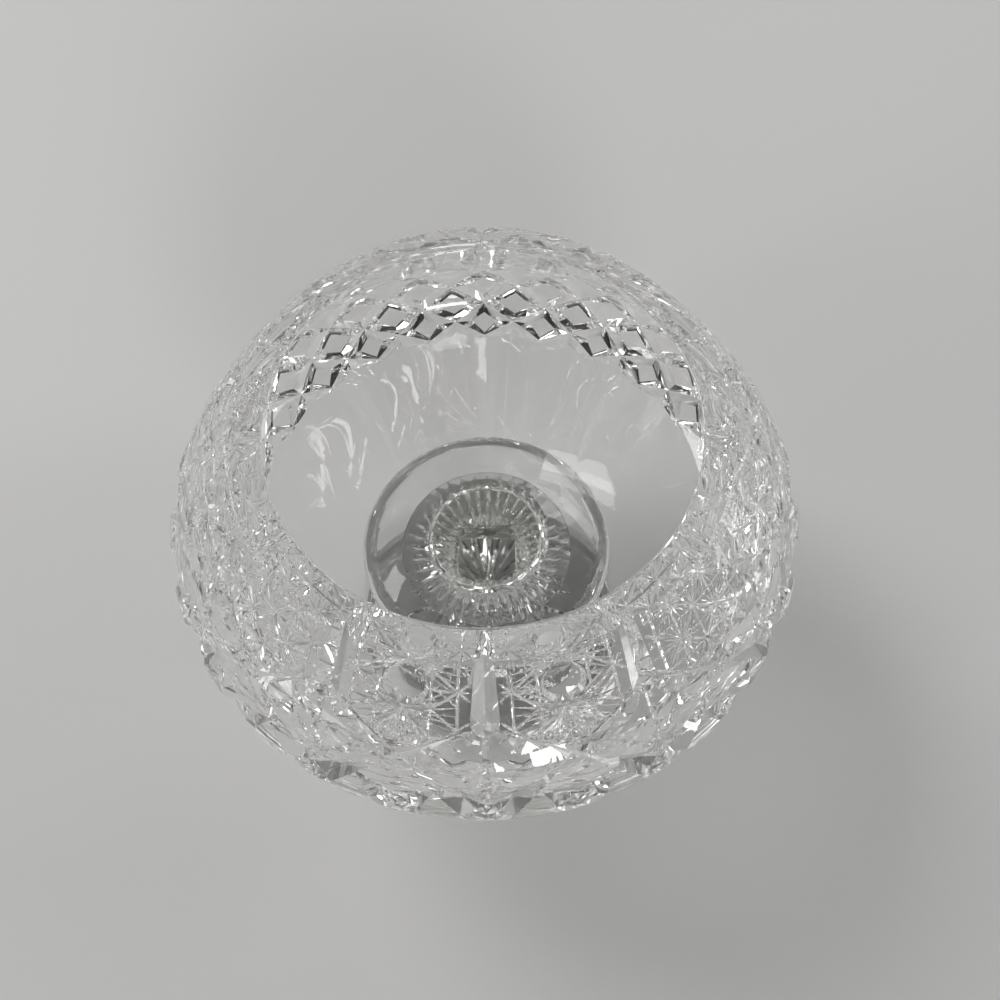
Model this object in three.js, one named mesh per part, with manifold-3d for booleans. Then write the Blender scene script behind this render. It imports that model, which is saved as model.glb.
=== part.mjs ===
// Cut-glass compote vase: a squat bowl with an in-turned shoulder on a collar, a square-necked stem
// and a foot. Millimetres, +Z up, origin at the centre of the foot's underside. Azimuth 0 faces -Y.
import * as THREE from 'three';
import { mergeVertices } from 'three/addons/utils/BufferGeometryUtils.js';
import Module from 'manifold-3d';

// Bowl
const WIDEST_RADIUS = 85;
const MOUTH_RADIUS = 52; // inside the rim
const RIM_RADIUS = 60; // outside the rim, before its bevel
const RIM_BEVEL = 0.5;
const MOUTH_TO_WIDEST = 37; // down from the mouth's plane
const BOWL_DEPTH = 70; // outside, from the mouth's plane to the ground pad
const WALL = 7.5;
const FLOOR = 9;
const SHOULDER_SWELL = 1.12; // 1 is a straight cone, more bulges
const BELLY_POWER = 3; // 2 is an ellipse, more is squarer
const PAD_RADIUS = 16; // flat ground pad that is bonded to the collar
const PAD_STEP = 2.8; // how far the pad stands below the belly, in a hollow curve

// Joint film, collar, stem and foot
const BOND_FILM = 0.25;
const COLLAR_RADIUS = 38;
const COLLAR_THICKNESS = 9.5;
const STEM_HEIGHT = 46.25;
const STEM_TOP_RADIUS = 26;
const STEM_BASE_RADIUS = 20;
const STEM_TOP_FLARE = 2.6;
const STEM_BASE_FLARE = 3;
const NECK_HALF = 9; // half the width of the square neck
const NECK_HEIGHT = 34; // up from the foot, where the neck is narrowest
const NECK_SQUARENESS = 9; // power of the neck's outline: 2 is round
const SQUARE_ABOVE = 0.55; // share of the way from the neck to the collar where the stem is round again
const SQUARE_BELOW = 0.4; // share of the way from the neck to the foot up to which the stem is fully square
const STEM_FLUTES = 36;
const FLUTE_DEPTH_SHARE = 0.12; // of the stem's radius
const FLUTE_REACH = 2.5; // more puts a flute's deepest place nearer to the collar
const FLUTE_FULLNESS = 0.7; // under 1 keeps a flute deep along more of its length
const FOOT_RADIUS = 46;
const FOOT_EDGE = 5;
const FOOT_HEIGHT = 14;
const FOOT_SEAT_MARGIN = 1; // flat top of the foot past the stem
const FOOT_FLARE = 2.4;

// Cuts in the bowl: twelve columns between upright mitres, and a lattice round the belly. Lengths run down
// the outside from the rim, and angles are in degrees. The depth of a cut is given in pairs along it, and
// its walls are the widths of its upper and lower side for each millimetre of depth.
const COLUMNS = 12;
const BULLSEYE_COLUMNS_PER_STAR_COLUMN = 2;
const PATTERN_TURN = 0.8;
const MITRE_WALLS = [1.2, 1.2];
const UPRIGHT_DEPTHS = [[-4, 1.6], [1, 1.8], [16, 2.8], [18, 2.4], [20.5, -0.5]]; // by length
const DIAGONAL_START = 16.4;
const DIAGONAL_SLOPE = 0.68; // length for each degree of turn at the top of a diagonal
const DIAGONAL_BEND = 0.0075; // and how fast that grows
const LATTICE_FROM = 27; // turn at which a diagonal goes on as part of the lattice
const LATTICE_SLOPE = 1.51;
const LATTICE_BEND = -0.0142;
const SHOULDER_SPREAD = 0.5; // a diagonal's walls are narrower on the shoulder
const EDGE_SPREAD = 1.75; // and wider at the widest place
const BELLY_DEPTHS = [ // by turn, from the widest place down
  [28, 2.5, EDGE_SPREAD], [32, 2.5, EDGE_SPREAD], [36.5, 2.5], [59, 2.5], [63, -0.3],
];
const DIAGONAL_DEPTHS = [
  [0, -0.2, SHOULDER_SPREAD], [3, 1.5, SHOULDER_SPREAD], [22, 1.7, SHOULDER_SPREAD], ...BELLY_DEPTHS,
];
const LATTICE_DEPTHS = [[22, -0.3], ...BELLY_DEPTHS]; // the same between the diagonals
const LEAF_DEPTHS = [[1, -0.15], [6, 1.1], [11, -0.15]]; // by turn, a flat along each diagonal's lower side
const LEAF_WALLS = [0.6, 3.2];
const ARCH_LENGTH = 24.9; // in the middle of a column
const ARCH_DROP = 3.1; // from there to the column's edges
const ARCH_DEPTHS = [[-15.5, -0.2], [-13.5, 1.3], [13.5, 1.3], [15.5, -0.2]]; // by angle from the middle
const ARCH_WALLS = [0.7, 2.8];
const LEDGE_LENGTH = 30.3;
const LEDGE_DEPTH = 1.25;
const LEDGE_WALLS = [0.7, 3.5];
const NODE_LENGTH = 36.4; // stars between the columns, near the widest place
const NODE_REACH = 7;
const NODE_DEPTH = 1.3;
const NODE_RUN_OUT = -0.2;
const NODE_ANGLES = [45, 90, 135];
const BULLSEYE_RADIUS = 4.8;
const BULLSEYE_SPHERE = 6.5; // radius of the ball that hollows a bull's-eye
const BULLSEYE_LENGTH = 7.5;
const CUT_LIFT = 2; // how far the cutting wheel stands proud of the surface
const NORMAL_REACH = 3; // half the length that the wheel averages the slope over

// Star under the foot
const STAR_RAYS = 24;
const STAR_RADIUS = 31;
const STAR_HUB = 3;
const STAR_DEPTH = 1.6;
const STAR_TIP_RISE = 1.15; // share of its depth that a ray loses by its end

// Fineness of the facets
const BOWL_SIDES = 36;
const ROUND_SIDES = 48;
const TURN_STEP = 8; // along a slanting cut
const LENGTH_STEP = 6; // along an upright cut
const SHOULDER_STEPS = 3;
const BELLY_STEPS = 7;
const FOOT_STEPS = 7;
const EDGE_STEPS = 5;
const NECK_RINGS = 4; // between the foot and the neck
const FLARE_RINGS = 7; // between the neck and the collar
const BULLSEYE_SIDES = 14;
const MERGE_DISTANCE = 1e-4;
const CUT_TOLERANCE = 0.3; // slivers thinner than this are closed up

// Heights of the joints, stacked from the table up
const FOOT_TOP = FOOT_HEIGHT;
const STEM_TOP = FOOT_TOP + STEM_HEIGHT;
const COLLAR_TOP = STEM_TOP + COLLAR_THICKNESS;
const BOWL_BOTTOM = COLLAR_TOP + BOND_FILM;
const MOUTH_HEIGHT = BOWL_BOTTOM + BOWL_DEPTH;

const wasm = await Module();
wasm.setup();

function toSolid(geometry) {
  const bare = geometry.clone();
  bare.deleteAttribute('normal');
  bare.deleteAttribute('uv');
  const merged = mergeVertices(bare, MERGE_DISTANCE);
  return new wasm.Manifold(new wasm.Mesh({
    numProp: 3,
    vertProperties: new Float32Array(merged.attributes.position.array),
    triVerts: new Uint32Array(merged.index.array),
  }));
}

function toGeometry(solid) {
  const mesh = solid.getMesh();
  const geometry = new THREE.BufferGeometry();
  geometry.setAttribute('position', new THREE.BufferAttribute(mesh.vertProperties, 3));
  geometry.setIndex(new THREE.BufferAttribute(mesh.triVerts, 1));
  geometry.computeVertexNormals();
  return geometry;
}

function lathe(points, sides) {
  return new THREE.LatheGeometry(points, sides).rotateX(Math.PI / 2);
}

// Shoulder and belly of the bowl, as radius and distance below the mouth, for the outside or the inside
function shoulder(topRadius, widestRadius) {
  return Array.from({ length: SHOULDER_STEPS }, (_, i) => {
    const rise = 1 - i / SHOULDER_STEPS;
    const radius = widestRadius - (widestRadius - topRadius) * rise ** SHOULDER_SWELL;
    return new THREE.Vector2(radius, MOUTH_TO_WIDEST * (1 - rise));
  });
}

function belly(widestRadius, depth, endRadius) {
  const endAngle = Math.acos((endRadius / widestRadius) ** (BELLY_POWER / 2));
  return Array.from({ length: BELLY_STEPS + 1 }, (_, i) => {
    const angle = (endAngle * i) / BELLY_STEPS;
    const radius = widestRadius * Math.cos(angle) ** (2 / BELLY_POWER);
    return new THREE.Vector2(radius, MOUTH_TO_WIDEST + depth * Math.sin(angle) ** (2 / BELLY_POWER));
  });
}

const outside = [
  ...shoulder(RIM_RADIUS, WIDEST_RADIUS),
  ...belly(WIDEST_RADIUS, BOWL_DEPTH - PAD_STEP - MOUTH_TO_WIDEST, PAD_RADIUS + PAD_STEP),
];
const inside = [
  ...shoulder(MOUTH_RADIUS, WIDEST_RADIUS - WALL),
  ...belly(WIDEST_RADIUS - WALL, BOWL_DEPTH - FLOOR - MOUTH_TO_WIDEST, 0),
];

// A point on the bowl's outside, with its outward normal, at an azimuth and a length along the profile
const lengths = [0];
for (let i = 1; i < outside.length; i += 1) {
  lengths.push(lengths[i - 1] + outside[i].distanceTo(outside[i - 1]));
}

function alongOutside(along) {
  let i = 1;
  while (i < outside.length - 1 && lengths[i] < along) i += 1;
  const share = (along - lengths[i - 1]) / (lengths[i] - lengths[i - 1]);
  return new THREE.Vector2().lerpVectors(outside[i - 1], outside[i], share);
}

function onBowl(angle, along) {
  const azimuth = THREE.MathUtils.degToRad(angle + PATTERN_TURN);
  const spot = alongOutside(along);
  const run = alongOutside(along + NORMAL_REACH).sub(alongOutside(along - NORMAL_REACH)).normalize();
  const facing = new THREE.Vector3(Math.sin(azimuth), -Math.cos(azimuth), 0);
  const point = facing.clone().multiplyScalar(spot.x).setZ(MOUTH_HEIGHT - spot.y);
  const normal = facing.clone().multiplyScalar(run.y).setZ(run.x);
  return { point, normal };
}

// A V-shaped wheel's path through the surface
function mitre(stations, walls) {
  const positions = [];
  const corners = stations.map(({ point, normal, depth, spread = 1 }, i) => {
    const before = stations[Math.max(i - 1, 0)].point;
    const after = stations[Math.min(i + 1, stations.length - 1)].point;
    const across = normal.clone().cross(after.clone().sub(before)).normalize();
    const top = point.clone().addScaledVector(normal, CUT_LIFT);
    return [
      point.clone().addScaledVector(normal, -depth),
      top.clone().addScaledVector(across, (depth + CUT_LIFT) * spread * walls[0]),
      top.clone().addScaledVector(across, -(depth + CUT_LIFT) * spread * walls[1]),
    ];
  });
  const face = (...vertices) => vertices.forEach((vertex) => positions.push(vertex.x, vertex.y, vertex.z));
  const last = corners.length - 1;
  face(corners[0][0], corners[0][2], corners[0][1]);
  face(corners[last][0], corners[last][1], corners[last][2]);
  for (let i = 0; i < last; i += 1) {
    for (let j = 0; j < 3; j += 1) {
      const k = (j + 1) % 3;
      face(corners[i][j], corners[i][k], corners[i + 1][k]);
      face(corners[i][j], corners[i + 1][k], corners[i + 1][j]);
    }
  }
  const geometry = new THREE.BufferGeometry();
  geometry.setAttribute('position', new THREE.Float32BufferAttribute(positions, 3));
  return toSolid(geometry);
}

// A cut with stations at even steps between its pairs. place gives the angle and the length at a step.
function bowlCut(pairs, step, place, walls) {
  const stations = [];
  for (let i = 0; i < pairs.length - 1; i += 1) {
    const [[from, fromDepth, fromSpread = 1], [to, toDepth, toSpread = 1]] = [pairs[i], pairs[i + 1]];
    const count = Math.ceil((to - from) / step);
    for (let j = i ? 1 : 0; j <= count; j += 1) {
      const share = j / count;
      const depth = THREE.MathUtils.lerp(fromDepth, toDepth, share);
      const spread = THREE.MathUtils.lerp(fromSpread, toSpread, share);
      stations.push({ ...onBowl(...place(THREE.MathUtils.lerp(from, to, share))), depth, spread });
    }
  }
  return mitre(stations, walls);
}

function diagonalLength(turn) {
  const above = Math.min(turn, LATTICE_FROM);
  const below = turn - above;
  return DIAGONAL_START + (DIAGONAL_SLOPE + DIAGONAL_BEND * above) * above
    + (LATTICE_SLOPE + LATTICE_BEND * below) * below;
}

function slantingCut(pairs, edge, side, walls) {
  return bowlCut(pairs, TURN_STEP, (turn) => [edge + side * turn, diagonalLength(turn)], walls);
}

function archCut(middle) {
  const place = (angle) => [middle + angle, ARCH_LENGTH + ARCH_DROP * (angle / ARCH_DEPTHS[0][0]) ** 2];
  return bowlCut(ARCH_DEPTHS, 2 * TURN_STEP, place, ARCH_WALLS);
}

function nodeCut(edge, angle) {
  const slant = THREE.MathUtils.degToRad(angle);
  const turn = THREE.MathUtils.radToDeg(Math.sin(slant) / WIDEST_RADIUS);
  const place = (reach) => [edge + reach * turn, NODE_LENGTH + reach * Math.cos(slant)];
  const pairs = [[-NODE_REACH, NODE_RUN_OUT], [0, NODE_DEPTH], [NODE_REACH, NODE_RUN_OUT]];
  return bowlCut(pairs, NODE_REACH, place, MITRE_WALLS);
}

function bullsEye(middle) {
  const { point, normal } = onBowl(middle, BULLSEYE_LENGTH);
  const reach = Math.sqrt(BULLSEYE_SPHERE ** 2 - BULLSEYE_RADIUS ** 2);
  const centre = point.addScaledVector(normal, reach);
  const sphere = new THREE.SphereGeometry(BULLSEYE_SPHERE, BULLSEYE_SIDES, BULLSEYE_SIDES / 2);
  return toSolid(sphere.translate(centre.x, centre.y, centre.z));
}

function makeBowl() {
  const toProfile = ({ x, y }) => new THREE.Vector2(x, MOUTH_HEIGHT - y);
  const ledgeTop = LEDGE_LENGTH - LEDGE_DEPTH * LEDGE_WALLS[0];
  const ledgeEnd = LEDGE_LENGTH + LEDGE_DEPTH * LEDGE_WALLS[1];
  const slope = alongOutside(ledgeEnd).sub(alongOutside(ledgeTop)).normalize();
  const inwards = new THREE.Vector2(-slope.y, slope.x);
  const ledge = alongOutside(LEDGE_LENGTH).addScaledVector(inwards, LEDGE_DEPTH);
  const outer = [
    alongOutside(RIM_BEVEL),
    ...outside.filter((spot, i) => lengths[i] > RIM_BEVEL && lengths[i] < ledgeTop),
    alongOutside(ledgeTop), ledge, alongOutside(ledgeEnd),
    ...outside.filter((spot, i) => lengths[i] > ledgeEnd),
  ].map(toProfile).reverse();
  const inner = inside.map(toProfile);
  inner[inner.length - 1].x = 0;
  const padSide = new THREE.Path().absarc(
    PAD_RADIUS + PAD_STEP, BOWL_BOTTOM, PAD_STEP, Math.PI, Math.PI / 2, true).getPoints(EDGE_STEPS);
  let solid = toSolid(lathe([
    new THREE.Vector2(0, BOWL_BOTTOM),
    ...padSide.slice(0, -1),
    ...outer,
    new THREE.Vector2(RIM_RADIUS - RIM_BEVEL, MOUTH_HEIGHT),
    ...inner,
  ], BOWL_SIDES));

  const cuts = [];
  for (let i = 0; i < COLUMNS; i += 1) {
    const edge = (i * 360) / COLUMNS;
    const middle = edge + 180 / COLUMNS;
    cuts.push(bowlCut(UPRIGHT_DEPTHS, LENGTH_STEP, (along) => [edge, along], MITRE_WALLS));
    cuts.push(archCut(middle), ...NODE_ANGLES.map((angle) => nodeCut(edge, angle)));
    for (const side of [-1, 1]) {
      const leafWalls = side > 0 ? LEAF_WALLS : [...LEAF_WALLS].reverse();
      cuts.push(slantingCut(LEAF_DEPTHS, edge, side, leafWalls));
      cuts.push(slantingCut(DIAGONAL_DEPTHS, edge, side, MITRE_WALLS));
      cuts.push(slantingCut(LATTICE_DEPTHS, middle, side, MITRE_WALLS));
    }
    const group = BULLSEYE_COLUMNS_PER_STAR_COLUMN + 1;
    if ((i + 1) % group < BULLSEYE_COLUMNS_PER_STAR_COLUMN) cuts.push(bullsEye(middle));
  }
  for (const cut of cuts) solid = solid.subtract(cut);
  return toGeometry(solid.simplify(CUT_TOLERANCE));
}

function makeBond() {
  const film = new THREE.CylinderGeometry(PAD_RADIUS, PAD_RADIUS, BOND_FILM, ROUND_SIDES);
  return film.rotateX(Math.PI / 2).translate(0, 0, COLLAR_TOP + BOND_FILM / 2);
}

function makeCollar() {
  const round = COLLAR_THICKNESS / 2;
  const edge = new THREE.Path().absarc(
    COLLAR_RADIUS - round, STEM_TOP + round, round, -Math.PI / 2, Math.PI / 2).getPoints(EDGE_STEPS);
  return lathe([new THREE.Vector2(0, STEM_TOP), ...edge, new THREE.Vector2(0, COLLAR_TOP)], ROUND_SIDES);
}

// The stem is round and fluted where it flares to the collar, square at the neck and round again at the foot
function stemRadius(height, angle) {
  const above = THREE.MathUtils.clamp((height - NECK_HEIGHT) / (STEM_HEIGHT - NECK_HEIGHT), 0, 1);
  const below = THREE.MathUtils.clamp(1 - height / NECK_HEIGHT, 0, 1);
  const half = NECK_HALF + (STEM_TOP_RADIUS - NECK_HALF) * above ** STEM_TOP_FLARE
    + (STEM_BASE_RADIUS - NECK_HALF) * below ** STEM_BASE_FLARE;
  const square = Math.max(0, 1 - above / SQUARE_ABOVE) * Math.min(1, (1 - below) / (1 - SQUARE_BELOW));
  const power = THREE.MathUtils.lerp(2, NECK_SQUARENESS, square);
  const outline = (Math.abs(Math.cos(angle)) ** power + Math.abs(Math.sin(angle)) ** power) ** (-1 / power);
  const hollow = Math.abs(Math.sin((angle * STEM_FLUTES) / 2));
  const depth = FLUTE_DEPTH_SHARE * Math.sin(Math.PI * above ** FLUTE_REACH) ** FLUTE_FULLNESS;
  return half * outline * (1 - depth * hollow);
}

function makeStem() {
  const heights = [];
  for (let i = 0; i < NECK_RINGS; i += 1) heights.push((NECK_HEIGHT * i) / NECK_RINGS);
  for (let i = 0; i <= FLARE_RINGS; i += 1) {
    heights.push(THREE.MathUtils.lerp(NECK_HEIGHT, STEM_HEIGHT, i / FLARE_RINGS));
  }
  const rings = heights.map((height) => new THREE.Vector2(1, FOOT_TOP + height));
  const profile = [new THREE.Vector2(0, FOOT_TOP), ...rings, new THREE.Vector2(0, STEM_TOP)];
  const geometry = lathe(profile, 2 * STEM_FLUTES);
  const position = geometry.attributes.position;
  for (let i = 0; i < position.count; i += 1) {
    const [x, y] = [position.getX(i), position.getY(i)];
    const radius = stemRadius(position.getZ(i) - FOOT_TOP, Math.atan2(y, x));
    position.setXY(i, x * radius, y * radius);
  }
  return toGeometry(toSolid(geometry));
}

function makeFoot() {
  const round = FOOT_EDGE / 2;
  const seat = STEM_BASE_RADIUS + FOOT_SEAT_MARGIN;
  const rim = FOOT_RADIUS - round;
  const edge = new THREE.Path().absarc(rim, round, round, -Math.PI / 2, Math.PI / 2).getPoints(EDGE_STEPS);
  const top = Array.from({ length: FOOT_STEPS }, (_, i) => {
    const share = (i + 1) / FOOT_STEPS;
    const radius = THREE.MathUtils.lerp(rim, seat, share);
    return new THREE.Vector2(radius, FOOT_EDGE + (FOOT_HEIGHT - FOOT_EDGE) * share ** FOOT_FLARE);
  });
  let solid = toSolid(lathe(
    [new THREE.Vector2(0, 0), ...edge, ...top, new THREE.Vector2(0, FOOT_TOP)], ROUND_SIDES));
  const down = new THREE.Vector3(0, 0, -1);
  for (let i = 0; i < STAR_RAYS; i += 1) {
    const angle = (2 * Math.PI * i) / STAR_RAYS;
    const outwards = new THREE.Vector3(Math.cos(angle), Math.sin(angle), 0);
    const ray = [0, 0.5, 1].map((share) => ({
      point: outwards.clone().multiplyScalar(THREE.MathUtils.lerp(STAR_HUB, STAR_RADIUS, share)),
      normal: down,
      depth: STAR_DEPTH * (1 - STAR_TIP_RISE * share ** 3),
    }));
    solid = solid.subtract(mitre(ray, MITRE_WALLS));
  }
  return toGeometry(solid);
}

const crystal = () => new THREE.MeshStandardMaterial({ color: 0xe9eded, roughness: 0.03, metalness: 0 });
const clearFilm = () => new THREE.MeshStandardMaterial({ color: 0xf2f2ee, roughness: 0.1, metalness: 0 });

const vase = new THREE.Group();
for (const [name, geometry, material] of [
  ['bowl', makeBowl(), crystal()],
  ['bowl_bond', makeBond(), clearFilm()],
  ['collar', makeCollar(), crystal()],
  ['stem', makeStem(), crystal()],
  ['foot', makeFoot(), crystal()],
]) {
  const mesh = new THREE.Mesh(geometry, material);
  mesh.name = name;
  vase.add(mesh);
}

export default vase;
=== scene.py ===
"""Looks of the cut-glass compote vase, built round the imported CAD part.

Metres, +Z up, origin under the foot. Azimuths are in degrees: 0 faces -Y, towards the camera, and 90 faces
+X. Each piece is turned as a smooth solid, and the bowl and the foot are then cut with V-shaped mitres.
"""
import math

import bmesh
import bpy
import numpy as np
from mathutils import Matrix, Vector


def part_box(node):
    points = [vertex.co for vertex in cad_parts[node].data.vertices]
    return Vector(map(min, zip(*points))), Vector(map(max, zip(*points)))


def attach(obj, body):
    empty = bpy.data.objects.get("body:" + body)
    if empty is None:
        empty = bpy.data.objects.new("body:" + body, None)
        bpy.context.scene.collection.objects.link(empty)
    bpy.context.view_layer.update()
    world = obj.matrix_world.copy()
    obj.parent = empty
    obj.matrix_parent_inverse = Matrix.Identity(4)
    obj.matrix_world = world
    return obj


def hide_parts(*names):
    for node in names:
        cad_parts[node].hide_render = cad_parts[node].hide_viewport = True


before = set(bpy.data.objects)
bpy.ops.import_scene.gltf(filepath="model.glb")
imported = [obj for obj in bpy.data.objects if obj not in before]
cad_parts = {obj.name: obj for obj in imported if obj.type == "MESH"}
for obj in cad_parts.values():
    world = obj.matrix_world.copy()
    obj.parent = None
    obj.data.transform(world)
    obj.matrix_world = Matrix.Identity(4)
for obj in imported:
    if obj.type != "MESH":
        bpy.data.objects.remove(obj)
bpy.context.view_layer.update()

MM = 0.001

# Heights come from the imported CAD parts
FOOT_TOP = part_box("foot")[1].z
STEM_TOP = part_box("stem")[1].z
COLLAR_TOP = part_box("collar")[1].z
BOWL_BOTTOM, MOUTH_HEIGHT = (corner.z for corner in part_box("bowl"))

# Bowl
WIDEST_RADIUS = 85 * MM
MOUTH_RADIUS = 52 * MM
RIM_RADIUS = 60 * MM
RIM_BEVEL = 0.5 * MM
RIM_ROUND = 0.5 * MM
MOUTH_TO_WIDEST = 37 * MM
WALL = 7.5 * MM
FLOOR = 9 * MM
SHOULDER_SWELL = 1.12
BELLY_POWER = 3
WIDEST_ROUND = 2.2 * MM
PAD_RADIUS = 16 * MM
PAD_STEP = 2.8 * MM

# Pieces under the bowl
COLLAR_RADIUS = 38 * MM
COLLAR_HUB = 6 * MM  # the innermost ring of points on the collar's flat faces
STEM_TOP_RADIUS = 26 * MM
STEM_BASE_RADIUS = 20 * MM
NECK_HALF = 9 * MM  # the neck is square with soft corners
NECK_HEIGHT = 34 * MM  # up from the foot, where the neck is narrowest
STEM_TOP_FLARE = 2.6
STEM_BASE_FLARE = 3
NECK_SQUARENESS = 9  # power of the neck's outline: 2 is round
SQUARE_ABOVE = 0.55
SQUARE_BELOW = 0.4
STEM_FLUTES = 36
FLUTE_DEPTH_SHARE = 0.12
FLUTE_REACH = 2.5
FLUTE_FULLNESS = 0.7
FOOT_RADIUS = 46 * MM
FOOT_EDGE = 5 * MM
FOOT_SEAT_MARGIN = 1 * MM
FOOT_FLARE = 2.4
STAR_RAYS = 24
STAR_RADIUS = 31 * MM
STAR_HUB = 3 * MM
STAR_DEPTH = 1.6 * MM
STAR_LIFT = 0.5 * MM
STAR_FADE = 3  # power by which a ray of the star grows shallower outwards
SEAT_OVERLAP = 0.02 * MM  # joined glass is sunk this far, so that light passes straight through the joint

# Cut pattern: twelve columns of 30 degrees. Lengths run down the outside from the rim.
PATTERN_TURN = 0.8  # the whole pattern is turned this far, in degrees
COLUMN = 30
EDGES = [COLUMN * i for i in range(12)]  # azimuths of the upright mitres, between the columns
MIDDLES = [edge + COLUMN / 2 for edge in EDGES]
BULLSEYE_MIDDLES = [middle for i, middle in enumerate(MIDDLES) if i % 3 != 1]
PLAIN_MIDDLES = [middle for middle in MIDDLES if middle not in BULLSEYE_MIDDLES]
MITRE_WALLS = (1.2, 1.2)  # widths of a mitre's two sides, per unit of depth
MITRE_LIFT = 1.2 * MM  # how far a cutter stands out of the glass
DEEP_LIFT = 2 * MM
RUN_OUT = 1.15  # the end of a cut rises out of the glass by the part over 1, as a share of its depth
EVEN_POWER = 12  # how short the pointed ends of even cuts are
UPRIGHT_LENGTHS = np.array([-4, 1, 16, 18, 20.5]) * MM
UPRIGHT_DEPTHS = np.array([1.6, 1.8, 2.8, 2.4, -0.5]) * MM
TAIL_LENGTHS = (17 * MM, 41 * MM)
TAIL_DEPTH = 0.7 * MM
DIAGONAL_START = 16.4 * MM
DIAGONAL_SLOPE = 0.68 * MM  # length per degree at the top of a diagonal
DIAGONAL_BEND = 0.0075 * MM  # and how fast that grows, per degree squared
LATTICE_FROM = 27  # degrees along a diagonal where it goes on as part of the lattice
LATTICE_SLOPE = 1.51 * MM
LATTICE_BEND = -0.0142 * MM
LATTICE_TO = 63
DIAGONAL_LENGTHS = np.array([16.4, 18.5, 34, 42, 48, 54, 72, 76]) * MM
DIAGONAL_DEPTHS = np.array([-0.2, 1.5, 1.7, 2.5, 2.5, 2.5, 2.5, -0.3]) * MM
DIAGONAL_WALLS = np.array([0.6, 0.6, 0.8, 2.1, 2.1, 1.2, 1.2, 1.2])
BETWEEN_FROM = 22  # the lattice's other mitres start at the widest place
BETWEEN_LENGTHS = np.array([35, 42, 48, 54, 72, 76]) * MM
BETWEEN_DEPTHS = np.array([-0.3, 2.5, 2.5, 2.5, 2.5, -0.3]) * MM
BETWEEN_WALLS = np.array([0.8, 2.1, 2.1, 1.2, 1.2, 1.2])
LEAF_TURNS = (1, 11)  # a flat leaf along each diagonal's lower side
LEAF_DEPTH = 1.1 * MM
LEAF_OFFSET = 0.4 * MM
LEAF_WALLS = (0.6, 3.2)
BAND_HALF = 15.5  # arches and ledges reach this far each side of a column's middle
ARCH_MIDDLE = 24.9 * MM
ARCH_DROP = 3.1 * MM
ARCH_DEPTH = 1.3 * MM
ARCH_WALLS = (0.7, 2.8)
ARCH_STAR_AZIMUTH = 3.1  # many-rayed stars stand on each arch, this far from its middle
ARCH_STAR_LENGTH = 24.6 * MM
ARCH_STAR_LINES = 8
ARCH_STAR_REACH = 7 * MM
ARCH_STAR_DEPTH = 0.7 * MM
LEDGE_LENGTH = 30.3 * MM
LEDGE_DEPTH = 1.25 * MM
LEDGE_WALLS = (0.7, 3.5)
NODE_LENGTH = 36.4 * MM  # stars between the columns, near the widest place
NODE_ANGLES = (30, 60, 90, 120, 150)
NODE_REACH = 7 * MM
NODE_DEPTH = 1.3 * MM
BULLSEYE_LENGTH = 7.5 * MM
BULLSEYE_RADIUS = 5.2 * MM
BULLSEYE_DISC = 4.1 * MM  # its bottom is a shallow dish of this radius, inside a sloping wall
BULLSEYE_DEPTH = 1.3 * MM
BULLSEYE_SPHERE = 14 * MM
BULLSEYE_LIFT = 1 * MM
RIM_FLUTES = 13  # places for flutes in a column, the first and the last of which the uprights take
RIM_FLUTE_LENGTHS = (-2.5 * MM, 3 * MM)
RIM_FLUTE_DEPTH = 0.4 * MM

# Fine cutting above the arches. Two rows of stars stand in the plain columns, each side of the middle. In the
# others there are stars with longer rays, above and below the bull's-eye.
STAR_AZIMUTH = 5
STAR_ROWS = [2.3 * MM, 12.7 * MM]
ROW_PITCH = STAR_ROWS[1] - STAR_ROWS[0]
STAR_LINES = 10
LONG_STAR_LINES = 16
STAR_REACH = 6.2 * MM
LONG_STAR_GAP = 6.45 * MM  # from the bull's-eye's middle
LONG_STAR_REACH = 14 * MM
STAR_CUT_DEPTH = 0.42 * MM
STAR_WALLS = (0.7, 0.7)
LONG_STAR_DEPTH = 0.6 * MM
LONG_STAR_WALLS = (0.85, 0.85)
FINE_DEPTH = 0.45 * MM
FINE_WALLS = (0.8, 0.8)
FINE_LIFT = 0.8 * MM
FINE_STEP = 1.8 * MM
FIELD_HALF = 12.6
FIELD_TOP = -1.5 * MM
FIELD_END = 30 * MM
FIELD_MARGIN = 0.6 * MM
BULLSEYE_MARGIN = 0.3 * MM
OUT_OF_GLASS = -0.15 * MM  # depth of a cut that has run out

# Mesh fineness
BOWL_SIDES = 180
BULLSEYE_SIDES = 48
ROUND_SIDES = 128
PROFILE_STEP = 2.4 * MM
PROFILE_TURN = math.radians(2.5)
GROOVE_STEP = 2.2 * MM
DIAGONAL_STRETCH = 1.3  # a diagonal is about this much longer than its turn round the bowl
UPRIGHT_STATIONS = 14
LEAF_STATIONS = 9
BAND_STATIONS = 19
STAR_STATIONS = 8
FEWEST_STATIONS = 5  # along any straight cut
LIP_POINTS = 6
PAD_NECK_POINTS = 10
DISH_RINGS = 5
DISH_FIRST_RING = 0.2  # as a share of the bull's-eye's disc
BOND_EDGE_POINTS = 7
COLLAR_EDGE_POINTS = 24
COLLAR_RINGS = 5
FOOT_EDGE_POINTS = 20
STEM_RINGS = 60
POINTS_PER_FLUTE = 8
FOOT_RINGS = 24
DENSE_POINTS = 400  # along each half of the bowl's profile, before it is softened
DENSE_STEP = 0.2 * MM
DENSE_TURN = 9
FIELD_SAMPLES = 200  # along a fine line, to find where its field starts and ends
SHORTEST_SAMPLES = 20  # a shorter line is left out
WELD = 0.002 * MM
SHARP_ANGLE = math.radians(7)

# Camera of the photograph, for a square frame of 1000 pixels
CAMERA_PLACE = (4.1 * MM, -115.1 * MM, 319.5 * MM)
CAMERA_TILT = 27.4
CAMERA_LENS = 32.4
CAMERA_NEAR = 10 * MM

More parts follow.
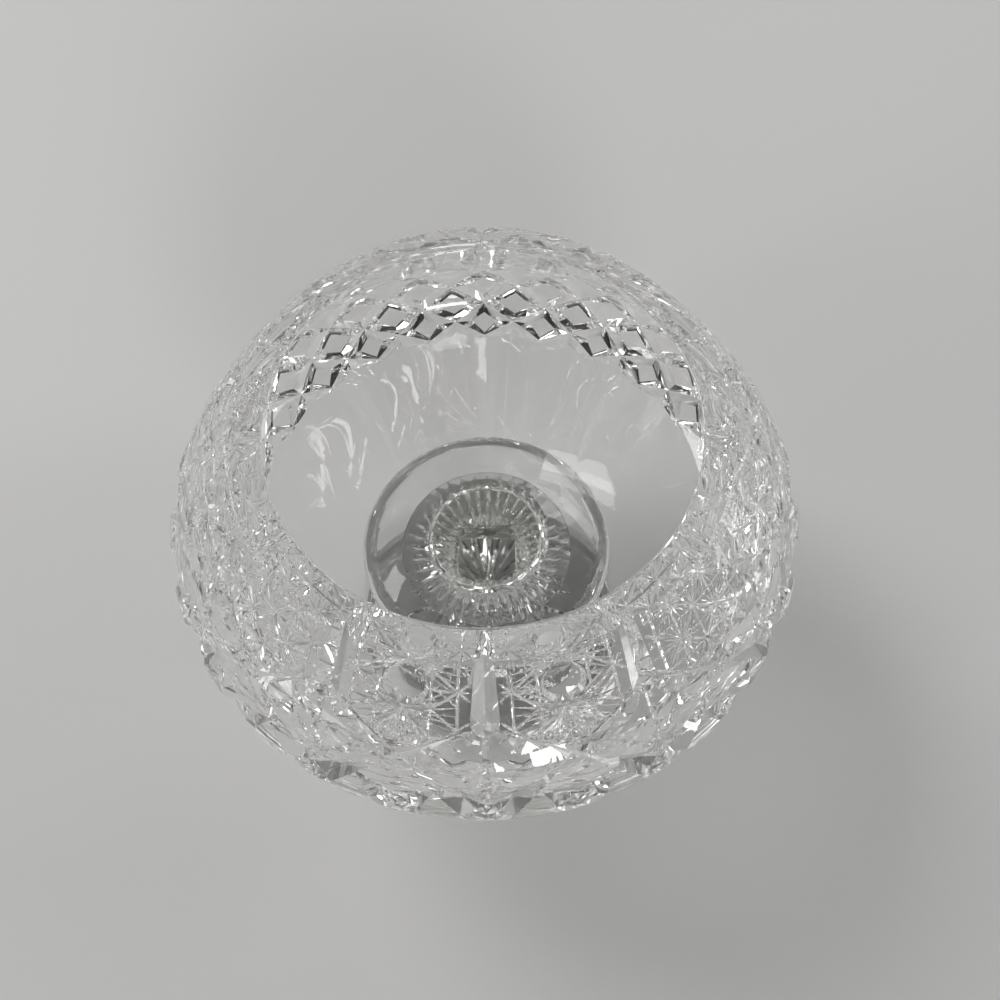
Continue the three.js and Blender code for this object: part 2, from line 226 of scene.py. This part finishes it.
# Stage and glass
FLOOR_HALF = 6
FLOOR_GAP = 0.1 * MM  # thin air under the foot, so that the floor shows through its glass
FLOOR_COLOUR = (0.84, 0.835, 0.82, 1)
FLOOR_ROUGHNESS = 0.6
FADE_FROM, FADE_TO = 0.8, 3.5  # distances over which the floor fades to the horizon's colour
HORIZON, ZENITH = 0.45, 0.03  # brightness of the studio round the vase and over it
HORIZON_RISE, ZENITH_RISE = 0.05, 0.7  # upward shares of the view's direction where these hold
LAMP_TARGET = (0, 0, 0.1)
CRYSTAL_COLOUR = (0.95, 0.95, 0.945)
CRYSTAL_INDEX = 1.545
FILM_COLOUR = (0.97, 0.97, 0.95)
FILM_INDEX = 1.5
POLISH_RELIEF = 0.02 * MM
NOISE_LOW, NOISE_HIGH = 0.35, 0.7  # the span of a noise that is spread over the wanted range
EDGE_ROUND = 0.05 * MM  # the polish takes the sharpness off each edge
EDGE_SAMPLES = 4
LIGHT_BOUNCES = 32  # light turns many times in thick cut glass


# Meshes

def make_object(name, vertices, faces):
    mesh = bpy.data.meshes.new(name)
    mesh.from_pydata(np.asarray(vertices).tolist(), [], faces)
    obj = bpy.data.objects.new(name, mesh)
    bpy.context.collection.objects.link(obj)
    return obj


def around(azimuth, radius, height):
    """Points at azimuths in degrees."""
    angle = np.radians(azimuth)
    return np.stack(np.broadcast_arrays(radius * np.sin(angle), -radius * np.cos(angle), height), -1)


def resample(points, step, turn):
    """Fewer points of a smooth curve: a new one for each step of length or of turning."""
    runs = np.diff(points, axis=0)
    lengths = np.hypot(*runs.T)
    angles = np.unwrap(np.arctan2(runs[:, 1], runs[:, 0]))
    turned = np.abs(np.diff(angles, prepend=angles[0]))
    progress = np.r_[0, np.cumsum(lengths / step + turned / turn)]
    wanted = np.linspace(0, progress[-1], math.ceil(progress[-1]) + 1)
    return np.stack([np.interp(wanted, progress, points[:, k]) for k in (0, 1)], -1)


def ringed_shape(rings):
    """Closed shape from rings of points, lowest first, with a point in the middle of each end."""
    count, sides = rings.shape[:2]
    vertices = np.vstack([rings[:1].mean(1), rings.reshape(-1, 3), rings[-1:].mean(1)])
    last = len(vertices) - 1

    def at(ring, side):
        return 1 + ring * sides + side % sides

    faces = [(0, at(0, j + 1), at(0, j)) for j in range(sides)]
    for i in range(count - 1):
        faces += [(at(i, j), at(i, j + 1), at(i + 1, j + 1), at(i + 1, j)) for j in range(sides)]
    faces += [(last, at(count - 1, j), at(count - 1, j + 1)) for j in range(sides)]
    return vertices, faces


def turned_solid(name, profile, sides):
    """Solid of revolution from (radius, height) points that start and end beside the axis."""
    rings = np.array(profile)
    azimuths = np.arange(sides) * 360 / sides
    return make_object(name, *ringed_shape(around(azimuths[None, :], rings[:, :1], rings[:, 1:])))


def arc(centre, radius, start, end, count):
    angles = np.radians(np.linspace(start, end, count))
    return np.stack([centre[0] + radius * np.cos(angles), centre[1] + radius * np.sin(angles)], -1)


def groove(points, normals, depths, walls, lift):
    """Closed V-shaped cutter along points on a surface.

    walls are the widths of its two sides per unit of depth.
    """
    along = np.gradient(points, axis=0)
    across = np.cross(normals, along)
    across /= np.linalg.norm(across, axis=1, keepdims=True)
    top = points + normals * lift
    reach = (depths + lift)[:, None]
    rows = np.stack([points - normals * depths[:, None], top + across * reach * walls[0],
                     top - across * reach * walls[1]], 1)
    n = len(points)
    faces = [(0, 2, 1), (3 * n - 3, 3 * n - 2, 3 * n - 1)]
    for i in range(n - 1):
        for j in range(3):
            k = (j + 1) % 3
            faces.append((3 * i + j, 3 * i + k, 3 * i + 3 + k, 3 * i + 3 + j))
    return rows.reshape(-1, 3), faces


def carve(obj, cutters):
    """Cut a set of shapes that don't touch each other out of obj."""
    vertices, faces = [], []
    for points, sides in cutters:
        start = len(vertices)
        vertices += points.tolist()
        faces += [tuple(start + i for i in side) for side in sides]
    tool = make_object("cutter", vertices, faces)
    tool.data.materials.append(None)
    tool.data.materials.append(None)
    tool.data.polygons.foreach_set("material_index", [1] * len(faces))
    cut = obj.modifiers.new("cut", "BOOLEAN")
    cut.solver = "MANIFOLD"
    cut.operation = "DIFFERENCE"
    cut.object = tool
    result = bpy.data.meshes.new_from_object(obj.evaluated_get(bpy.context.evaluated_depsgraph_get()))
    obj.modifiers.clear()
    old, obj.data = obj.data, result
    bpy.data.meshes.remove(old)
    bpy.data.objects.remove(tool)


def shade(obj):
    """Smooth over gentle turns, crisp at the edges of the cuts."""
    bm = bmesh.new()
    bm.from_mesh(obj.data)
    bmesh.ops.remove_doubles(bm, verts=bm.verts, dist=WELD)
    bmesh.ops.dissolve_degenerate(bm, edges=bm.edges, dist=WELD)
    for face in bm.faces:
        face.smooth = True
    for edge in bm.edges:
        edge.smooth = edge.is_manifold and edge.calc_face_angle() < SHARP_ANGLE
    bm.to_mesh(obj.data)
    bm.free()


# The bowl's profile

def bowl_profile(top_radius, widest_radius, depth, end_radius):
    """Dense (radius, distance below the mouth) points from the mouth down, softly rounded where widest."""
    rise = np.linspace(1, 0, DENSE_POINTS)
    shoulder = np.stack([widest_radius - (widest_radius - top_radius) * rise ** SHOULDER_SWELL,
                         MOUTH_TO_WIDEST * (1 - rise)], -1)
    end = math.acos((end_radius / widest_radius) ** (BELLY_POWER / 2))
    angle = np.linspace(0, end, DENSE_POINTS)[1:]
    power = 2 / BELLY_POWER
    belly = np.stack([widest_radius * np.cos(angle) ** power,
                      MOUTH_TO_WIDEST + (depth - MOUTH_TO_WIDEST) * np.sin(angle) ** power], -1)
    points = resample(np.vstack([shoulder, belly]), DENSE_STEP, DENSE_TURN)
    length = np.r_[0, np.cumsum(np.hypot(*np.diff(points, axis=0).T))]
    apart = length[:, None] - length[None, :]
    weight = np.exp(-(apart / WIDEST_ROUND) ** 2 / 2)
    soft = weight @ points / weight.sum(1, keepdims=True)
    near = np.exp(-((points[:, 1] - MOUTH_TO_WIDEST) / (3 * WIDEST_ROUND)) ** 4)[:, None]
    return points + (soft - points) * near


BOWL_HEIGHT = MOUTH_HEIGHT - BOWL_BOTTOM
OUTSIDE = bowl_profile(RIM_RADIUS, WIDEST_RADIUS, BOWL_HEIGHT - PAD_STEP, PAD_RADIUS + PAD_STEP)
INSIDE = bowl_profile(MOUTH_RADIUS, WIDEST_RADIUS - WALL, BOWL_HEIGHT - FLOOR, 0)
LENGTH = np.r_[0, np.cumsum(np.hypot(*np.diff(OUTSIDE, axis=0).T))]
RUN = np.gradient(OUTSIDE, LENGTH, axis=0)


def on_bowl(azimuth, length):
    """Points and outward normals on the bowl's outside. Lengths under 0 run straight on past the rim."""
    beyond = np.minimum(length, 0)
    radius, drop = (np.interp(length, LENGTH, OUTSIDE[:, k]) + beyond * RUN[0, k] for k in (0, 1))
    run_r, run_d = (np.interp(length, LENGTH, RUN[:, k]) for k in (0, 1))
    size = np.hypot(run_r, run_d)
    azimuth = azimuth + PATTERN_TURN
    points = around(azimuth, radius, MOUTH_HEIGHT - drop)
    normals = around(azimuth, run_d / size, run_r / size)
    return points, normals


def bowl_groove(azimuth, length, depth, walls=MITRE_WALLS, lift=MITRE_LIFT):
    points, normals = on_bowl(np.asarray(azimuth, float), np.asarray(length, float))
    return groove(points, normals, np.asarray(depth, float), walls, lift)


def straight(start, end):
    """Even stations from one (azimuth, length) to another."""
    turn = math.radians(end[0] - start[0]) * WIDEST_RADIUS
    count = max(FEWEST_STATIONS, math.ceil(math.hypot(turn, end[1] - start[1]) / GROOVE_STEP) + 1)
    share = np.linspace(0, 1, count)
    return start[0] + (end[0] - start[0]) * share, start[1] + (end[1] - start[1]) * share, share


def pointed(share):
    """Depth of a cut that is deepest in its middle and runs out at both ends."""
    return 1 - RUN_OUT * (2 * share - 1) ** 2


def even(share):
    """Depth of a cut that is even but for short pointed ends."""
    return 1 - RUN_OUT * np.abs(2 * share - 1) ** EVEN_POWER


def line(start, end, depth, shape, walls=MITRE_WALLS, lift=MITRE_LIFT):
    azimuth, length, share = straight(start, end)
    return bowl_groove(azimuth, length, depth * shape(share), walls, lift)


# The bowl's cuts

BAND_OFFSETS = np.linspace(-BAND_HALF, BAND_HALF, BAND_STATIONS)


def diagonal_length(turn):
    """Length down the bowl of a diagonal that has turned so many degrees from its start by an upright."""
    above = np.minimum(turn, LATTICE_FROM)
    below = turn - above
    return (DIAGONAL_START + DIAGONAL_SLOPE * above + DIAGONAL_BEND * above ** 2
            + LATTICE_SLOPE * below + LATTICE_BEND * below ** 2)


def uprights():
    length = np.linspace(UPRIGHT_LENGTHS[0], UPRIGHT_LENGTHS[-1], UPRIGHT_STATIONS)
    depth = np.interp(length, UPRIGHT_LENGTHS, UPRIGHT_DEPTHS)
    return [bowl_groove(np.full(UPRIGHT_STATIONS, edge), length, depth, lift=DEEP_LIFT) for edge in EDGES]


def upright_tails():
    return [line((edge, TAIL_LENGTHS[0]), (edge, TAIL_LENGTHS[1]), TAIL_DEPTH, even) for edge in EDGES]


def diagonals(side, starts, from_turn, lengths, depths, walls):
    """One slanting family, with its depths and walls at lengths down the bowl."""
    run = (LATTICE_TO - from_turn) * math.radians(1) * WIDEST_RADIUS * DIAGONAL_STRETCH
    turn = np.linspace(from_turn, LATTICE_TO, math.ceil(run / GROOVE_STEP))
    length = diagonal_length(turn)
    depth = np.interp(length, lengths, depths)
    wall = np.interp(length, lengths, walls)[:, None]
    return [bowl_groove(start + side * turn, length, depth, (wall, wall), DEEP_LIFT) for start in starts]


def leaves(side):
    """Flats along the lower side of the diagonals, where these start."""
    turn = np.linspace(*LEAF_TURNS, LEAF_STATIONS)
    length = diagonal_length(turn) + LEAF_OFFSET
    depth = LEAF_DEPTH * pointed(np.linspace(0, 1, LEAF_STATIONS))
    return [bowl_groove(edge + side * turn, length, depth, LEAF_WALLS[::side]) for edge in EDGES]


def band(middles, length, depth, walls):
    """Cuts across whole columns, with lengths down the bowl at BAND_OFFSETS."""
    depth = depth * even((BAND_OFFSETS + BAND_HALF) / (2 * BAND_HALF))
    return [bowl_groove(middle + BAND_OFFSETS, length, depth, walls) for middle in middles]


def arches(middles):
    length = ARCH_MIDDLE + ARCH_DROP * (BAND_OFFSETS / (COLUMN / 2)) ** 2
    return band(middles, length, ARCH_DEPTH, ARCH_WALLS)


def ledges(middles):
    return band(middles, np.full(BAND_STATIONS, LEDGE_LENGTH), LEDGE_DEPTH, LEDGE_WALLS)


def half_turn(count):
    """Angles of evenly spread lines through a star's centre."""
    return np.arange(count) * 180 / count


def star_line(offset, length, angle, reach):
    """Places and depths, as shares, along one line through a star's centre at an angle from upright."""
    radius = np.interp(length, LENGTH, OUTSIDE[:, 0])
    share = np.linspace(-1, 1, 2 * math.ceil(reach / FINE_STEP) + 1)
    offsets = offset + np.degrees(reach * share * math.sin(math.radians(angle)) / radius)
    lengths = length + reach * share * math.cos(math.radians(angle))
    return offsets, lengths, 1 - RUN_OUT * share ** 2


def in_field(middle, offset, length):
    """Whether a column's fine cutting goes to a place: down to the crossed diagonals, round a bull's-eye."""
    end = diagonal_length(COLUMN / 2 - np.abs(offset)) - FIELD_MARGIN
    inside = (np.abs(offset) <= FIELD_HALF) & (length >= FIELD_TOP) & (length <= end)
    if middle in BULLSEYE_MIDDLES:
        across = np.radians(offset) * np.interp(length, LENGTH, OUTSIDE[:, 0])
        inside &= np.hypot(across, length - BULLSEYE_LENGTH) > BULLSEYE_RADIUS + BULLSEYE_MARGIN
    return inside


def fine_cut(middle, offset, length, depth, walls):
    """A fine groove that runs out where the column's fine cutting stops."""
    depth = np.where(in_field(middle, offset, length), depth, OUT_OF_GLASS)
    return bowl_groove(middle + offset, length, depth, walls, FINE_LIFT)


def fine_line(middle, start, end):
    """A straight fine groove between (offset, length) places, as far as the column's fine cutting goes."""
    share = np.linspace(0, 1, FIELD_SAMPLES)
    offset, length = (start[k] + (end[k] - start[k]) * share for k in (0, 1))
    keep = share[in_field(middle, offset, length)]
    if len(keep) < SHORTEST_SAMPLES:
        return []
    whole = math.hypot(math.radians(end[0] - start[0]) * WIDEST_RADIUS, end[1] - start[1])
    run = whole * (keep[-1] - keep[0])
    share = np.linspace(keep[0], keep[-1], math.ceil(run / FINE_STEP) + 3)
    offset, length = (start[k] + (end[k] - start[k]) * share for k in (0, 1))
    depth = np.full(len(share), FINE_DEPTH)
    depth[[0, -1]] = OUT_OF_GLASS
    return [fine_cut(middle, offset, length, depth, FINE_WALLS)]


def fine_uprights():
    return [cut for middle in MIDDLES for k in (-2, -1, 0, 1, 2)
            for cut in fine_line(middle, (k * STAR_AZIMUTH, FIELD_TOP), (k * STAR_AZIMUTH, FIELD_END))]


def fine_rows():
    plain = [STAR_ROWS[0] + ROW_PITCH * k / 2 for k in range(5)]
    beside_bullseye = [BULLSEYE_LENGTH, BULLSEYE_LENGTH + 2 * LONG_STAR_GAP]
    return [cut for middle in MIDDLES for row in (plain if middle in PLAIN_MIDDLES else beside_bullseye)
            for cut in fine_line(middle, (-FIELD_HALF, row), (FIELD_HALF, row))]


def fine_slants(slope, lengths):
    """Slanting lines that pass each column's middle at these lengths."""
    reach = slope * FIELD_HALF
    return [cut for middle in MIDDLES for length in lengths
            for cut in fine_line(middle, (-FIELD_HALF, length - reach), (FIELD_HALF, length + reach))]


def fine_stars(angle, middles, place, reach, depth, walls):
    """One line through a star at a place in each of these columns."""
    offset, length, share = star_line(*place, angle, reach)
    return [fine_cut(middle, offset, length, share * depth, walls) for middle in middles]


def plain_stars(angle, centres, length, reach, depth):
    offset, lengths, share = star_line(0, length, angle, reach)
    return [bowl_groove(centre + offset, lengths, share * depth, FINE_WALLS, FINE_LIFT)
            for centre in centres]


def rim_flutes():
    top, bottom = RIM_FLUTE_LENGTHS
    places = [edge + COLUMN * (k + 0.5) / RIM_FLUTES for edge in EDGES for k in range(1, RIM_FLUTES - 1)]
    return [line((place, top), (place, bottom), RIM_FLUTE_DEPTH, even, FINE_WALLS, FINE_LIFT)
            for place in places]


def bulls_eyes():
    """Round dishes with a sloping wall."""
    radius = BULLSEYE_DISC * np.linspace(DISH_FIRST_RING, 1, DISH_RINGS)
    edge_drop = math.sqrt(BULLSEYE_SPHERE ** 2 - BULLSEYE_DISC ** 2)
    height = -BULLSEYE_DEPTH + edge_drop - np.sqrt(BULLSEYE_SPHERE ** 2 - radius ** 2)
    slope = (BULLSEYE_RADIUS - BULLSEYE_DISC) / BULLSEYE_DEPTH
    radius = np.r_[radius, BULLSEYE_RADIUS + slope * BULLSEYE_LIFT][:, None, None]
    height = np.r_[height, BULLSEYE_LIFT][:, None, None]
    angle = np.radians(np.arange(BULLSEYE_SIDES) * 360 / BULLSEYE_SIDES)[None, :, None]
    cutters = []
    for azimuth in BULLSEYE_MIDDLES:
        point, normal = on_bowl(np.float64(azimuth), np.float64(BULLSEYE_LENGTH))
        across = around(azimuth + PATTERN_TURN + 90, 1, 0)
        along = np.cross(normal, across)
        outward = np.cos(angle) * across + np.sin(angle) * along
        cutters.append(ringed_shape(point + normal * height + radius * outward))
    return cutters


def fine_sets():
    """Sets of cutters for the fine cutting above the arches."""
    sets = [rim_flutes(), fine_uprights(), fine_rows()]
    slope = ROW_PITCH / (2 * STAR_AZIMUTH)
    for side in (1, -1):
        sets.append(fine_slants(side * slope, [STAR_ROWS[0] + ROW_PITCH * (k + 0.5) for k in range(-1, 3)]))
        sets.append(fine_slants(side * slope * 2, [STAR_ROWS[0] + ROW_PITCH / 2]))
    short = [(side * STAR_AZIMUTH, row) for row in STAR_ROWS for side in (-1, 1)]
    sets += [fine_stars(angle, PLAIN_MIDDLES, place, STAR_REACH, STAR_CUT_DEPTH, STAR_WALLS)
             for angle in half_turn(STAR_LINES) for place in short]
    long = [(0, BULLSEYE_LENGTH + side * LONG_STAR_GAP) for side in (-1, 1)]
    sets += [fine_stars(angle, BULLSEYE_MIDDLES, place, LONG_STAR_REACH, LONG_STAR_DEPTH, LONG_STAR_WALLS)
             for angle in half_turn(LONG_STAR_LINES) for place in long]
    return sets


def mitre_sets():
    """Sets of cutters for the arches and below, the uprights and the bull's-eyes."""
    sets = [form(MIDDLES[first::2]) for form in (arches, ledges) for first in (0, 1)]
    sets += [leaves(1), leaves(-1)]
    for side in (1, -1):
        centres = [middle + side * ARCH_STAR_AZIMUTH for middle in MIDDLES]
        sets += [plain_stars(angle, centres, ARCH_STAR_LENGTH, ARCH_STAR_REACH, ARCH_STAR_DEPTH)
                 for angle in half_turn(ARCH_STAR_LINES)]
    sets += [plain_stars(angle, EDGES, NODE_LENGTH, NODE_REACH, NODE_DEPTH) for angle in NODE_ANGLES]
    for side in (1, -1):
        sets.append(diagonals(side, EDGES, 0, DIAGONAL_LENGTHS, DIAGONAL_DEPTHS, DIAGONAL_WALLS))
        sets.append(diagonals(side, MIDDLES, BETWEEN_FROM, BETWEEN_LENGTHS, BETWEEN_DEPTHS, BETWEEN_WALLS))
    return sets + [uprights(), upright_tails(), bulls_eyes()]


def measured_up(points):
    """Points of a profile with heights in place of distances below the mouth."""
    return np.stack([points[:, 0], MOUTH_HEIGHT - points[:, 1]], -1)


def make_bowl():
    outer = measured_up(resample(OUTSIDE[LENGTH >= RIM_BEVEL], PROFILE_STEP, PROFILE_TURN))[::-1]
    inner = measured_up(resample(INSIDE[INSIDE[:, 1] >= RIM_ROUND], PROFILE_STEP, PROFILE_TURN))
    lip = arc((MOUTH_RADIUS + RIM_ROUND, MOUTH_HEIGHT - RIM_ROUND), RIM_ROUND, 90, 170, LIP_POINTS)
    neck = arc((PAD_RADIUS + PAD_STEP, BOWL_BOTTOM), PAD_STEP, 180, 100, PAD_NECK_POINTS)
    bowl = turned_solid("bowl_cut", [
        (PAD_RADIUS, BOWL_BOTTOM - SEAT_OVERLAP), *neck, *outer,
        (RIM_RADIUS - RIM_BEVEL, MOUTH_HEIGHT), *lip, *inner[:-1],
    ], BOWL_SIDES)
    for cutters in fine_sets() + mitre_sets():
        carve(bowl, cutters)
    shade(bowl)
    return bowl


# Pieces under the bowl

def make_bond():
    low, high = COLLAR_TOP - SEAT_OVERLAP, BOWL_BOTTOM + SEAT_OVERLAP
    half = (high - low) / 2
    edge = arc((PAD_RADIUS, low + half), half, -90, 90, BOND_EDGE_POINTS)
    bond = turned_solid("bond_film", edge, ROUND_SIDES)
    shade(bond)
    return bond


def make_collar():
    low, high = STEM_TOP - SEAT_OVERLAP, COLLAR_TOP
    half = (high - low) / 2
    edge = arc((COLLAR_RADIUS - half, low + half), half, -90, 90, COLLAR_EDGE_POINTS)
    under = [(radius, low) for radius in np.linspace(COLLAR_HUB, COLLAR_RADIUS - half, COLLAR_RINGS)[:-1]]
    over = [(radius, high) for radius in np.linspace(COLLAR_RADIUS - half, COLLAR_HUB, COLLAR_RINGS)[1:]]
    collar = turned_solid("collar_disc", [*under, *edge, *over], ROUND_SIDES)
    shade(collar)
    return collar


def stem_shape(height, azimuth):
    """Radius of the stem: round and fluted under the collar, square at the neck, round at the foot."""
    above = np.clip((height - NECK_HEIGHT) / (STEM_TOP - FOOT_TOP - NECK_HEIGHT), 0, 1)
    below = np.clip(1 - height / NECK_HEIGHT, 0, 1)
    half = (NECK_HALF + (STEM_TOP_RADIUS - NECK_HALF) * above ** STEM_TOP_FLARE
            + (STEM_BASE_RADIUS - NECK_HALF) * below ** STEM_BASE_FLARE)
    square = np.clip(1 - above / SQUARE_ABOVE, 0, 1) * np.clip((1 - below) / (1 - SQUARE_BELOW), 0, 1)
    power = 2 + (NECK_SQUARENESS - 2) * square
    angle = np.radians(azimuth)
    outline = (np.abs(np.cos(angle)) ** power + np.abs(np.sin(angle)) ** power) ** (-1 / power)
    depth = FLUTE_DEPTH_SHARE * np.clip(np.sin(np.pi * above ** FLUTE_REACH), 0, 1) ** FLUTE_FULLNESS
    return half * outline * (1 - depth * np.abs(np.sin(angle * STEM_FLUTES / 2)))


def make_stem():
    heights = np.linspace(0, 1, STEM_RINGS) * (STEM_TOP - FOOT_TOP)
    sides = POINTS_PER_FLUTE * STEM_FLUTES
    azimuths = np.arange(sides) * 360 / sides
    radii = stem_shape(heights[:, None], azimuths[None, :])
    levels = FOOT_TOP + heights
    levels[0] -= SEAT_OVERLAP
    stem = make_object("stem_fluted", *ringed_shape(around(azimuths[None, :], radii, levels[:, None])))
    shade(stem)
    return stem


def make_foot():
    half = FOOT_EDGE / 2
    rim = FOOT_RADIUS - half
    seat = STEM_BASE_RADIUS + FOOT_SEAT_MARGIN
    share = np.linspace(0, 1, FOOT_RINGS)[1:]
    rise = (FOOT_TOP - FOOT_EDGE) * share ** FOOT_FLARE
    top = np.stack([rim + (seat - rim) * share, FOOT_EDGE + rise], -1)
    profile = [(STAR_RADIUS, 0), *arc((rim, half), half, -90, 90, FOOT_EDGE_POINTS), *top]
    foot = turned_solid("foot_star", profile, ROUND_SIDES)
    share = np.linspace(0, 1, STAR_STATIONS)
    radius = STAR_HUB + (STAR_RADIUS - STAR_HUB) * share
    depth = STAR_DEPTH * (1 - RUN_OUT * share ** STAR_FADE)
    down = np.tile((0.0, 0.0, -1.0), (STAR_STATIONS, 1))
    for ray in (*range(0, STAR_RAYS, 2), *range(1, STAR_RAYS, 2)):
        points = around(np.full(STAR_STATIONS, ray * 360 / STAR_RAYS), radius, 0.0)
        carve(foot, [groove(points, down, depth, MITRE_WALLS, STAR_LIFT)])
    shade(foot)
    return foot


# Materials

def node(tree, kind, **inputs):
    made = tree.nodes.new(kind)
    for name, value in inputs.items():
        made.inputs[name.replace("_", " ")].default_value = value
    return made


def noise_range(tree, scale, low, high, detail=4):
    """A noise in object space, from low to high."""
    place = tree.nodes.new("ShaderNodeTexCoord")
    noise = node(tree, "ShaderNodeTexNoise", Scale=scale, Detail=detail)
    ramp = node(tree, "ShaderNodeMapRange", From_Min=NOISE_LOW, From_Max=NOISE_HIGH, To_Min=low, To_Max=high)
    tree.links.new(place.outputs["Object"], noise.inputs["Vector"])
    tree.links.new(noise.outputs["Fac"], ramp.inputs["Value"])
    return ramp.outputs["Result"]


def glass(name, colour, ior, rough, rough_scale, bump, bump_scale):
    """Clear glass with a faintly uneven polish and softened edges."""
    material = bpy.data.materials.new(name)
    material.use_nodes = True
    tree = material.node_tree
    shader = tree.nodes["Principled BSDF"]
    shader.inputs["Base Color"].default_value = (*colour, 1)
    shader.inputs["Transmission Weight"].default_value = 1
    shader.inputs["IOR"].default_value = ior
    tree.links.new(noise_range(tree, rough_scale, *rough), shader.inputs["Roughness"])
    edge = node(tree, "ShaderNodeBevel", Radius=EDGE_ROUND)
    edge.samples = EDGE_SAMPLES
    relief = node(tree, "ShaderNodeBump", Strength=bump, Distance=POLISH_RELIEF)
    tree.links.new(edge.outputs["Normal"], relief.inputs["Normal"])
    tree.links.new(noise_range(tree, bump_scale, 0, 1), relief.inputs["Height"])
    tree.links.new(relief.outputs["Normal"], shader.inputs["Normal"])
    return material


def paint(obj, *materials):
    obj.data.materials.clear()
    for material in materials:
        obj.data.materials.append(material)


# Stage

def make_floor():
    corners = [(x * FLOOR_HALF, y * FLOOR_HALF, -FLOOR_GAP) for x, y in ((-1, -1), (1, -1), (1, 1), (-1, 1))]
    floor = make_object("floor", corners, [(0, 1, 2, 3)])
    material = bpy.data.materials.new("pale_floor")
    material.use_nodes = True
    tree = material.node_tree
    shader = tree.nodes["Principled BSDF"]
    shader.inputs["Base Color"].default_value = FLOOR_COLOUR
    shader.inputs["Roughness"].default_value = FLOOR_ROUGHNESS
    # Far off, the floor fades to the horizon's colour where the camera or the glass sees it
    place = tree.nodes.new("ShaderNodeNewGeometry")
    distance = tree.nodes.new("ShaderNodeVectorMath")
    distance.operation = "LENGTH"
    fade = node(tree, "ShaderNodeMapRange", From_Min=FADE_FROM, From_Max=FADE_TO)
    ray = tree.nodes.new("ShaderNodeLightPath")
    seen = [tree.nodes.new("ShaderNodeMath") for _ in range(3)]
    seen[0].operation = seen[1].operation = "MAXIMUM"
    seen[2].operation = "MULTIPLY"
    horizon = node(tree, "ShaderNodeEmission", Color=(HORIZON, HORIZON, HORIZON, 1))
    mix = tree.nodes.new("ShaderNodeMixShader")
    for source, goal in (
        (place.outputs["Position"], distance.inputs[0]),
        (distance.outputs["Value"], fade.inputs["Value"]),
        (ray.outputs["Is Camera Ray"], seen[0].inputs[0]),
        (ray.outputs["Is Glossy Ray"], seen[0].inputs[1]),
        (seen[0].outputs["Value"], seen[1].inputs[0]),
        (ray.outputs["Is Transmission Ray"], seen[1].inputs[1]),
        (seen[1].outputs["Value"], seen[2].inputs[0]),
        (fade.outputs["Result"], seen[2].inputs[1]),
        (seen[2].outputs["Value"], mix.inputs[0]),
        (shader.outputs["BSDF"], mix.inputs[1]),
        (horizon.outputs["Emission"], mix.inputs[2]),
        (mix.outputs["Shader"], tree.nodes["Material Output"].inputs["Surface"]),
    ):
        tree.links.new(source, goal)
    paint(floor, material)


def make_world():
    world = bpy.data.worlds.new("studio")
    bpy.context.scene.world = world
    world.use_nodes = True
    tree = world.node_tree
    place = tree.nodes.new("ShaderNodeTexCoord")
    split = tree.nodes.new("ShaderNodeSeparateXYZ")
    rise = node(tree, "ShaderNodeMapRange", From_Min=HORIZON_RISE, From_Max=ZENITH_RISE,
                To_Min=HORIZON, To_Max=ZENITH)
    tree.links.new(place.outputs["Generated"], split.inputs["Vector"])
    tree.links.new(split.outputs["Z"], rise.inputs["Value"])
    tree.links.new(rise.outputs["Result"], tree.nodes["Background"].inputs["Color"])


def softbox(name, place, size, power, target=LAMP_TARGET):
    data = bpy.data.lights.new(name, "AREA")
    data.shape = "RECTANGLE"
    data.size, data.size_y = size
    data.energy = power
    lamp = bpy.data.objects.new(name, data)
    bpy.context.collection.objects.link(lamp)
    lamp.location = place
    direction = np.array(target) - np.array(place)
    lamp.rotation_euler = Vector(direction).to_track_quat("-Z", "Y").to_euler()


def make_camera():
    data = bpy.data.cameras.new("camera")
    data.lens = CAMERA_LENS
    data.clip_start = CAMERA_NEAR
    camera = bpy.data.objects.new("camera", data)
    bpy.context.collection.objects.link(camera)
    camera.location = CAMERA_PLACE
    camera.rotation_euler = (math.radians(CAMERA_TILT), 0, 0)
    bpy.context.scene.camera = camera


polished = glass("polished_crystal", CRYSTAL_COLOUR, CRYSTAL_INDEX,
                 rough=(0.0, 0.012), rough_scale=60, bump=0.05, bump_scale=400)
cut_face = glass("cut_crystal_facet", CRYSTAL_COLOUR, CRYSTAL_INDEX,
                 rough=(0.0, 0.008), rough_scale=300, bump=0.02, bump_scale=1500)
film = glass("clear_bond", FILM_COLOUR, FILM_INDEX,
             rough=(0.02, 0.08), rough_scale=200, bump=0.05, bump_scale=600)

for maker, materials, name, slot in (
    (make_bowl, (polished, cut_face), "bowl", "cut_crystal"),
    (make_bond, (film,), "bowl_bond", "clear_bond"),
    (make_collar, (polished,), "collar", "cut_crystal"),
    (make_stem, (polished,), "stem", "cut_crystal"),
    (make_foot, (polished, cut_face), "foot", "cut_crystal"),
):
    piece = maker()
    paint(piece, *materials)
    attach(piece, "root")
    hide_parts(name)

make_floor()
make_world()
softbox("high", place=(-0.8, 0.55, 1.1), size=(0.6, 0.6), power=7, target=(0, 0.35, 0))
softbox("side", place=(1.0, 0.1, 0.6), size=(0.3, 0.6), power=2, target=(0, 0.1, 0.05))
softbox("back", place=(0.5, 1.1, 0.7), size=(0.6, 0.3), power=2)
softbox("left", place=(-0.9, -0.5, 0.55), size=(0.12, 0.5), power=1.2)
softbox("window", place=(0.28, -1.15, 0.65), size=(0.3, 0.24), power=3.5)
make_camera()
bpy.context.scene.view_settings.view_transform = "Standard"
light_paths = bpy.context.scene.cycles
light_paths.max_bounces = light_paths.transmission_bounces = light_paths.glossy_bounces = LIGHT_BOUNCES
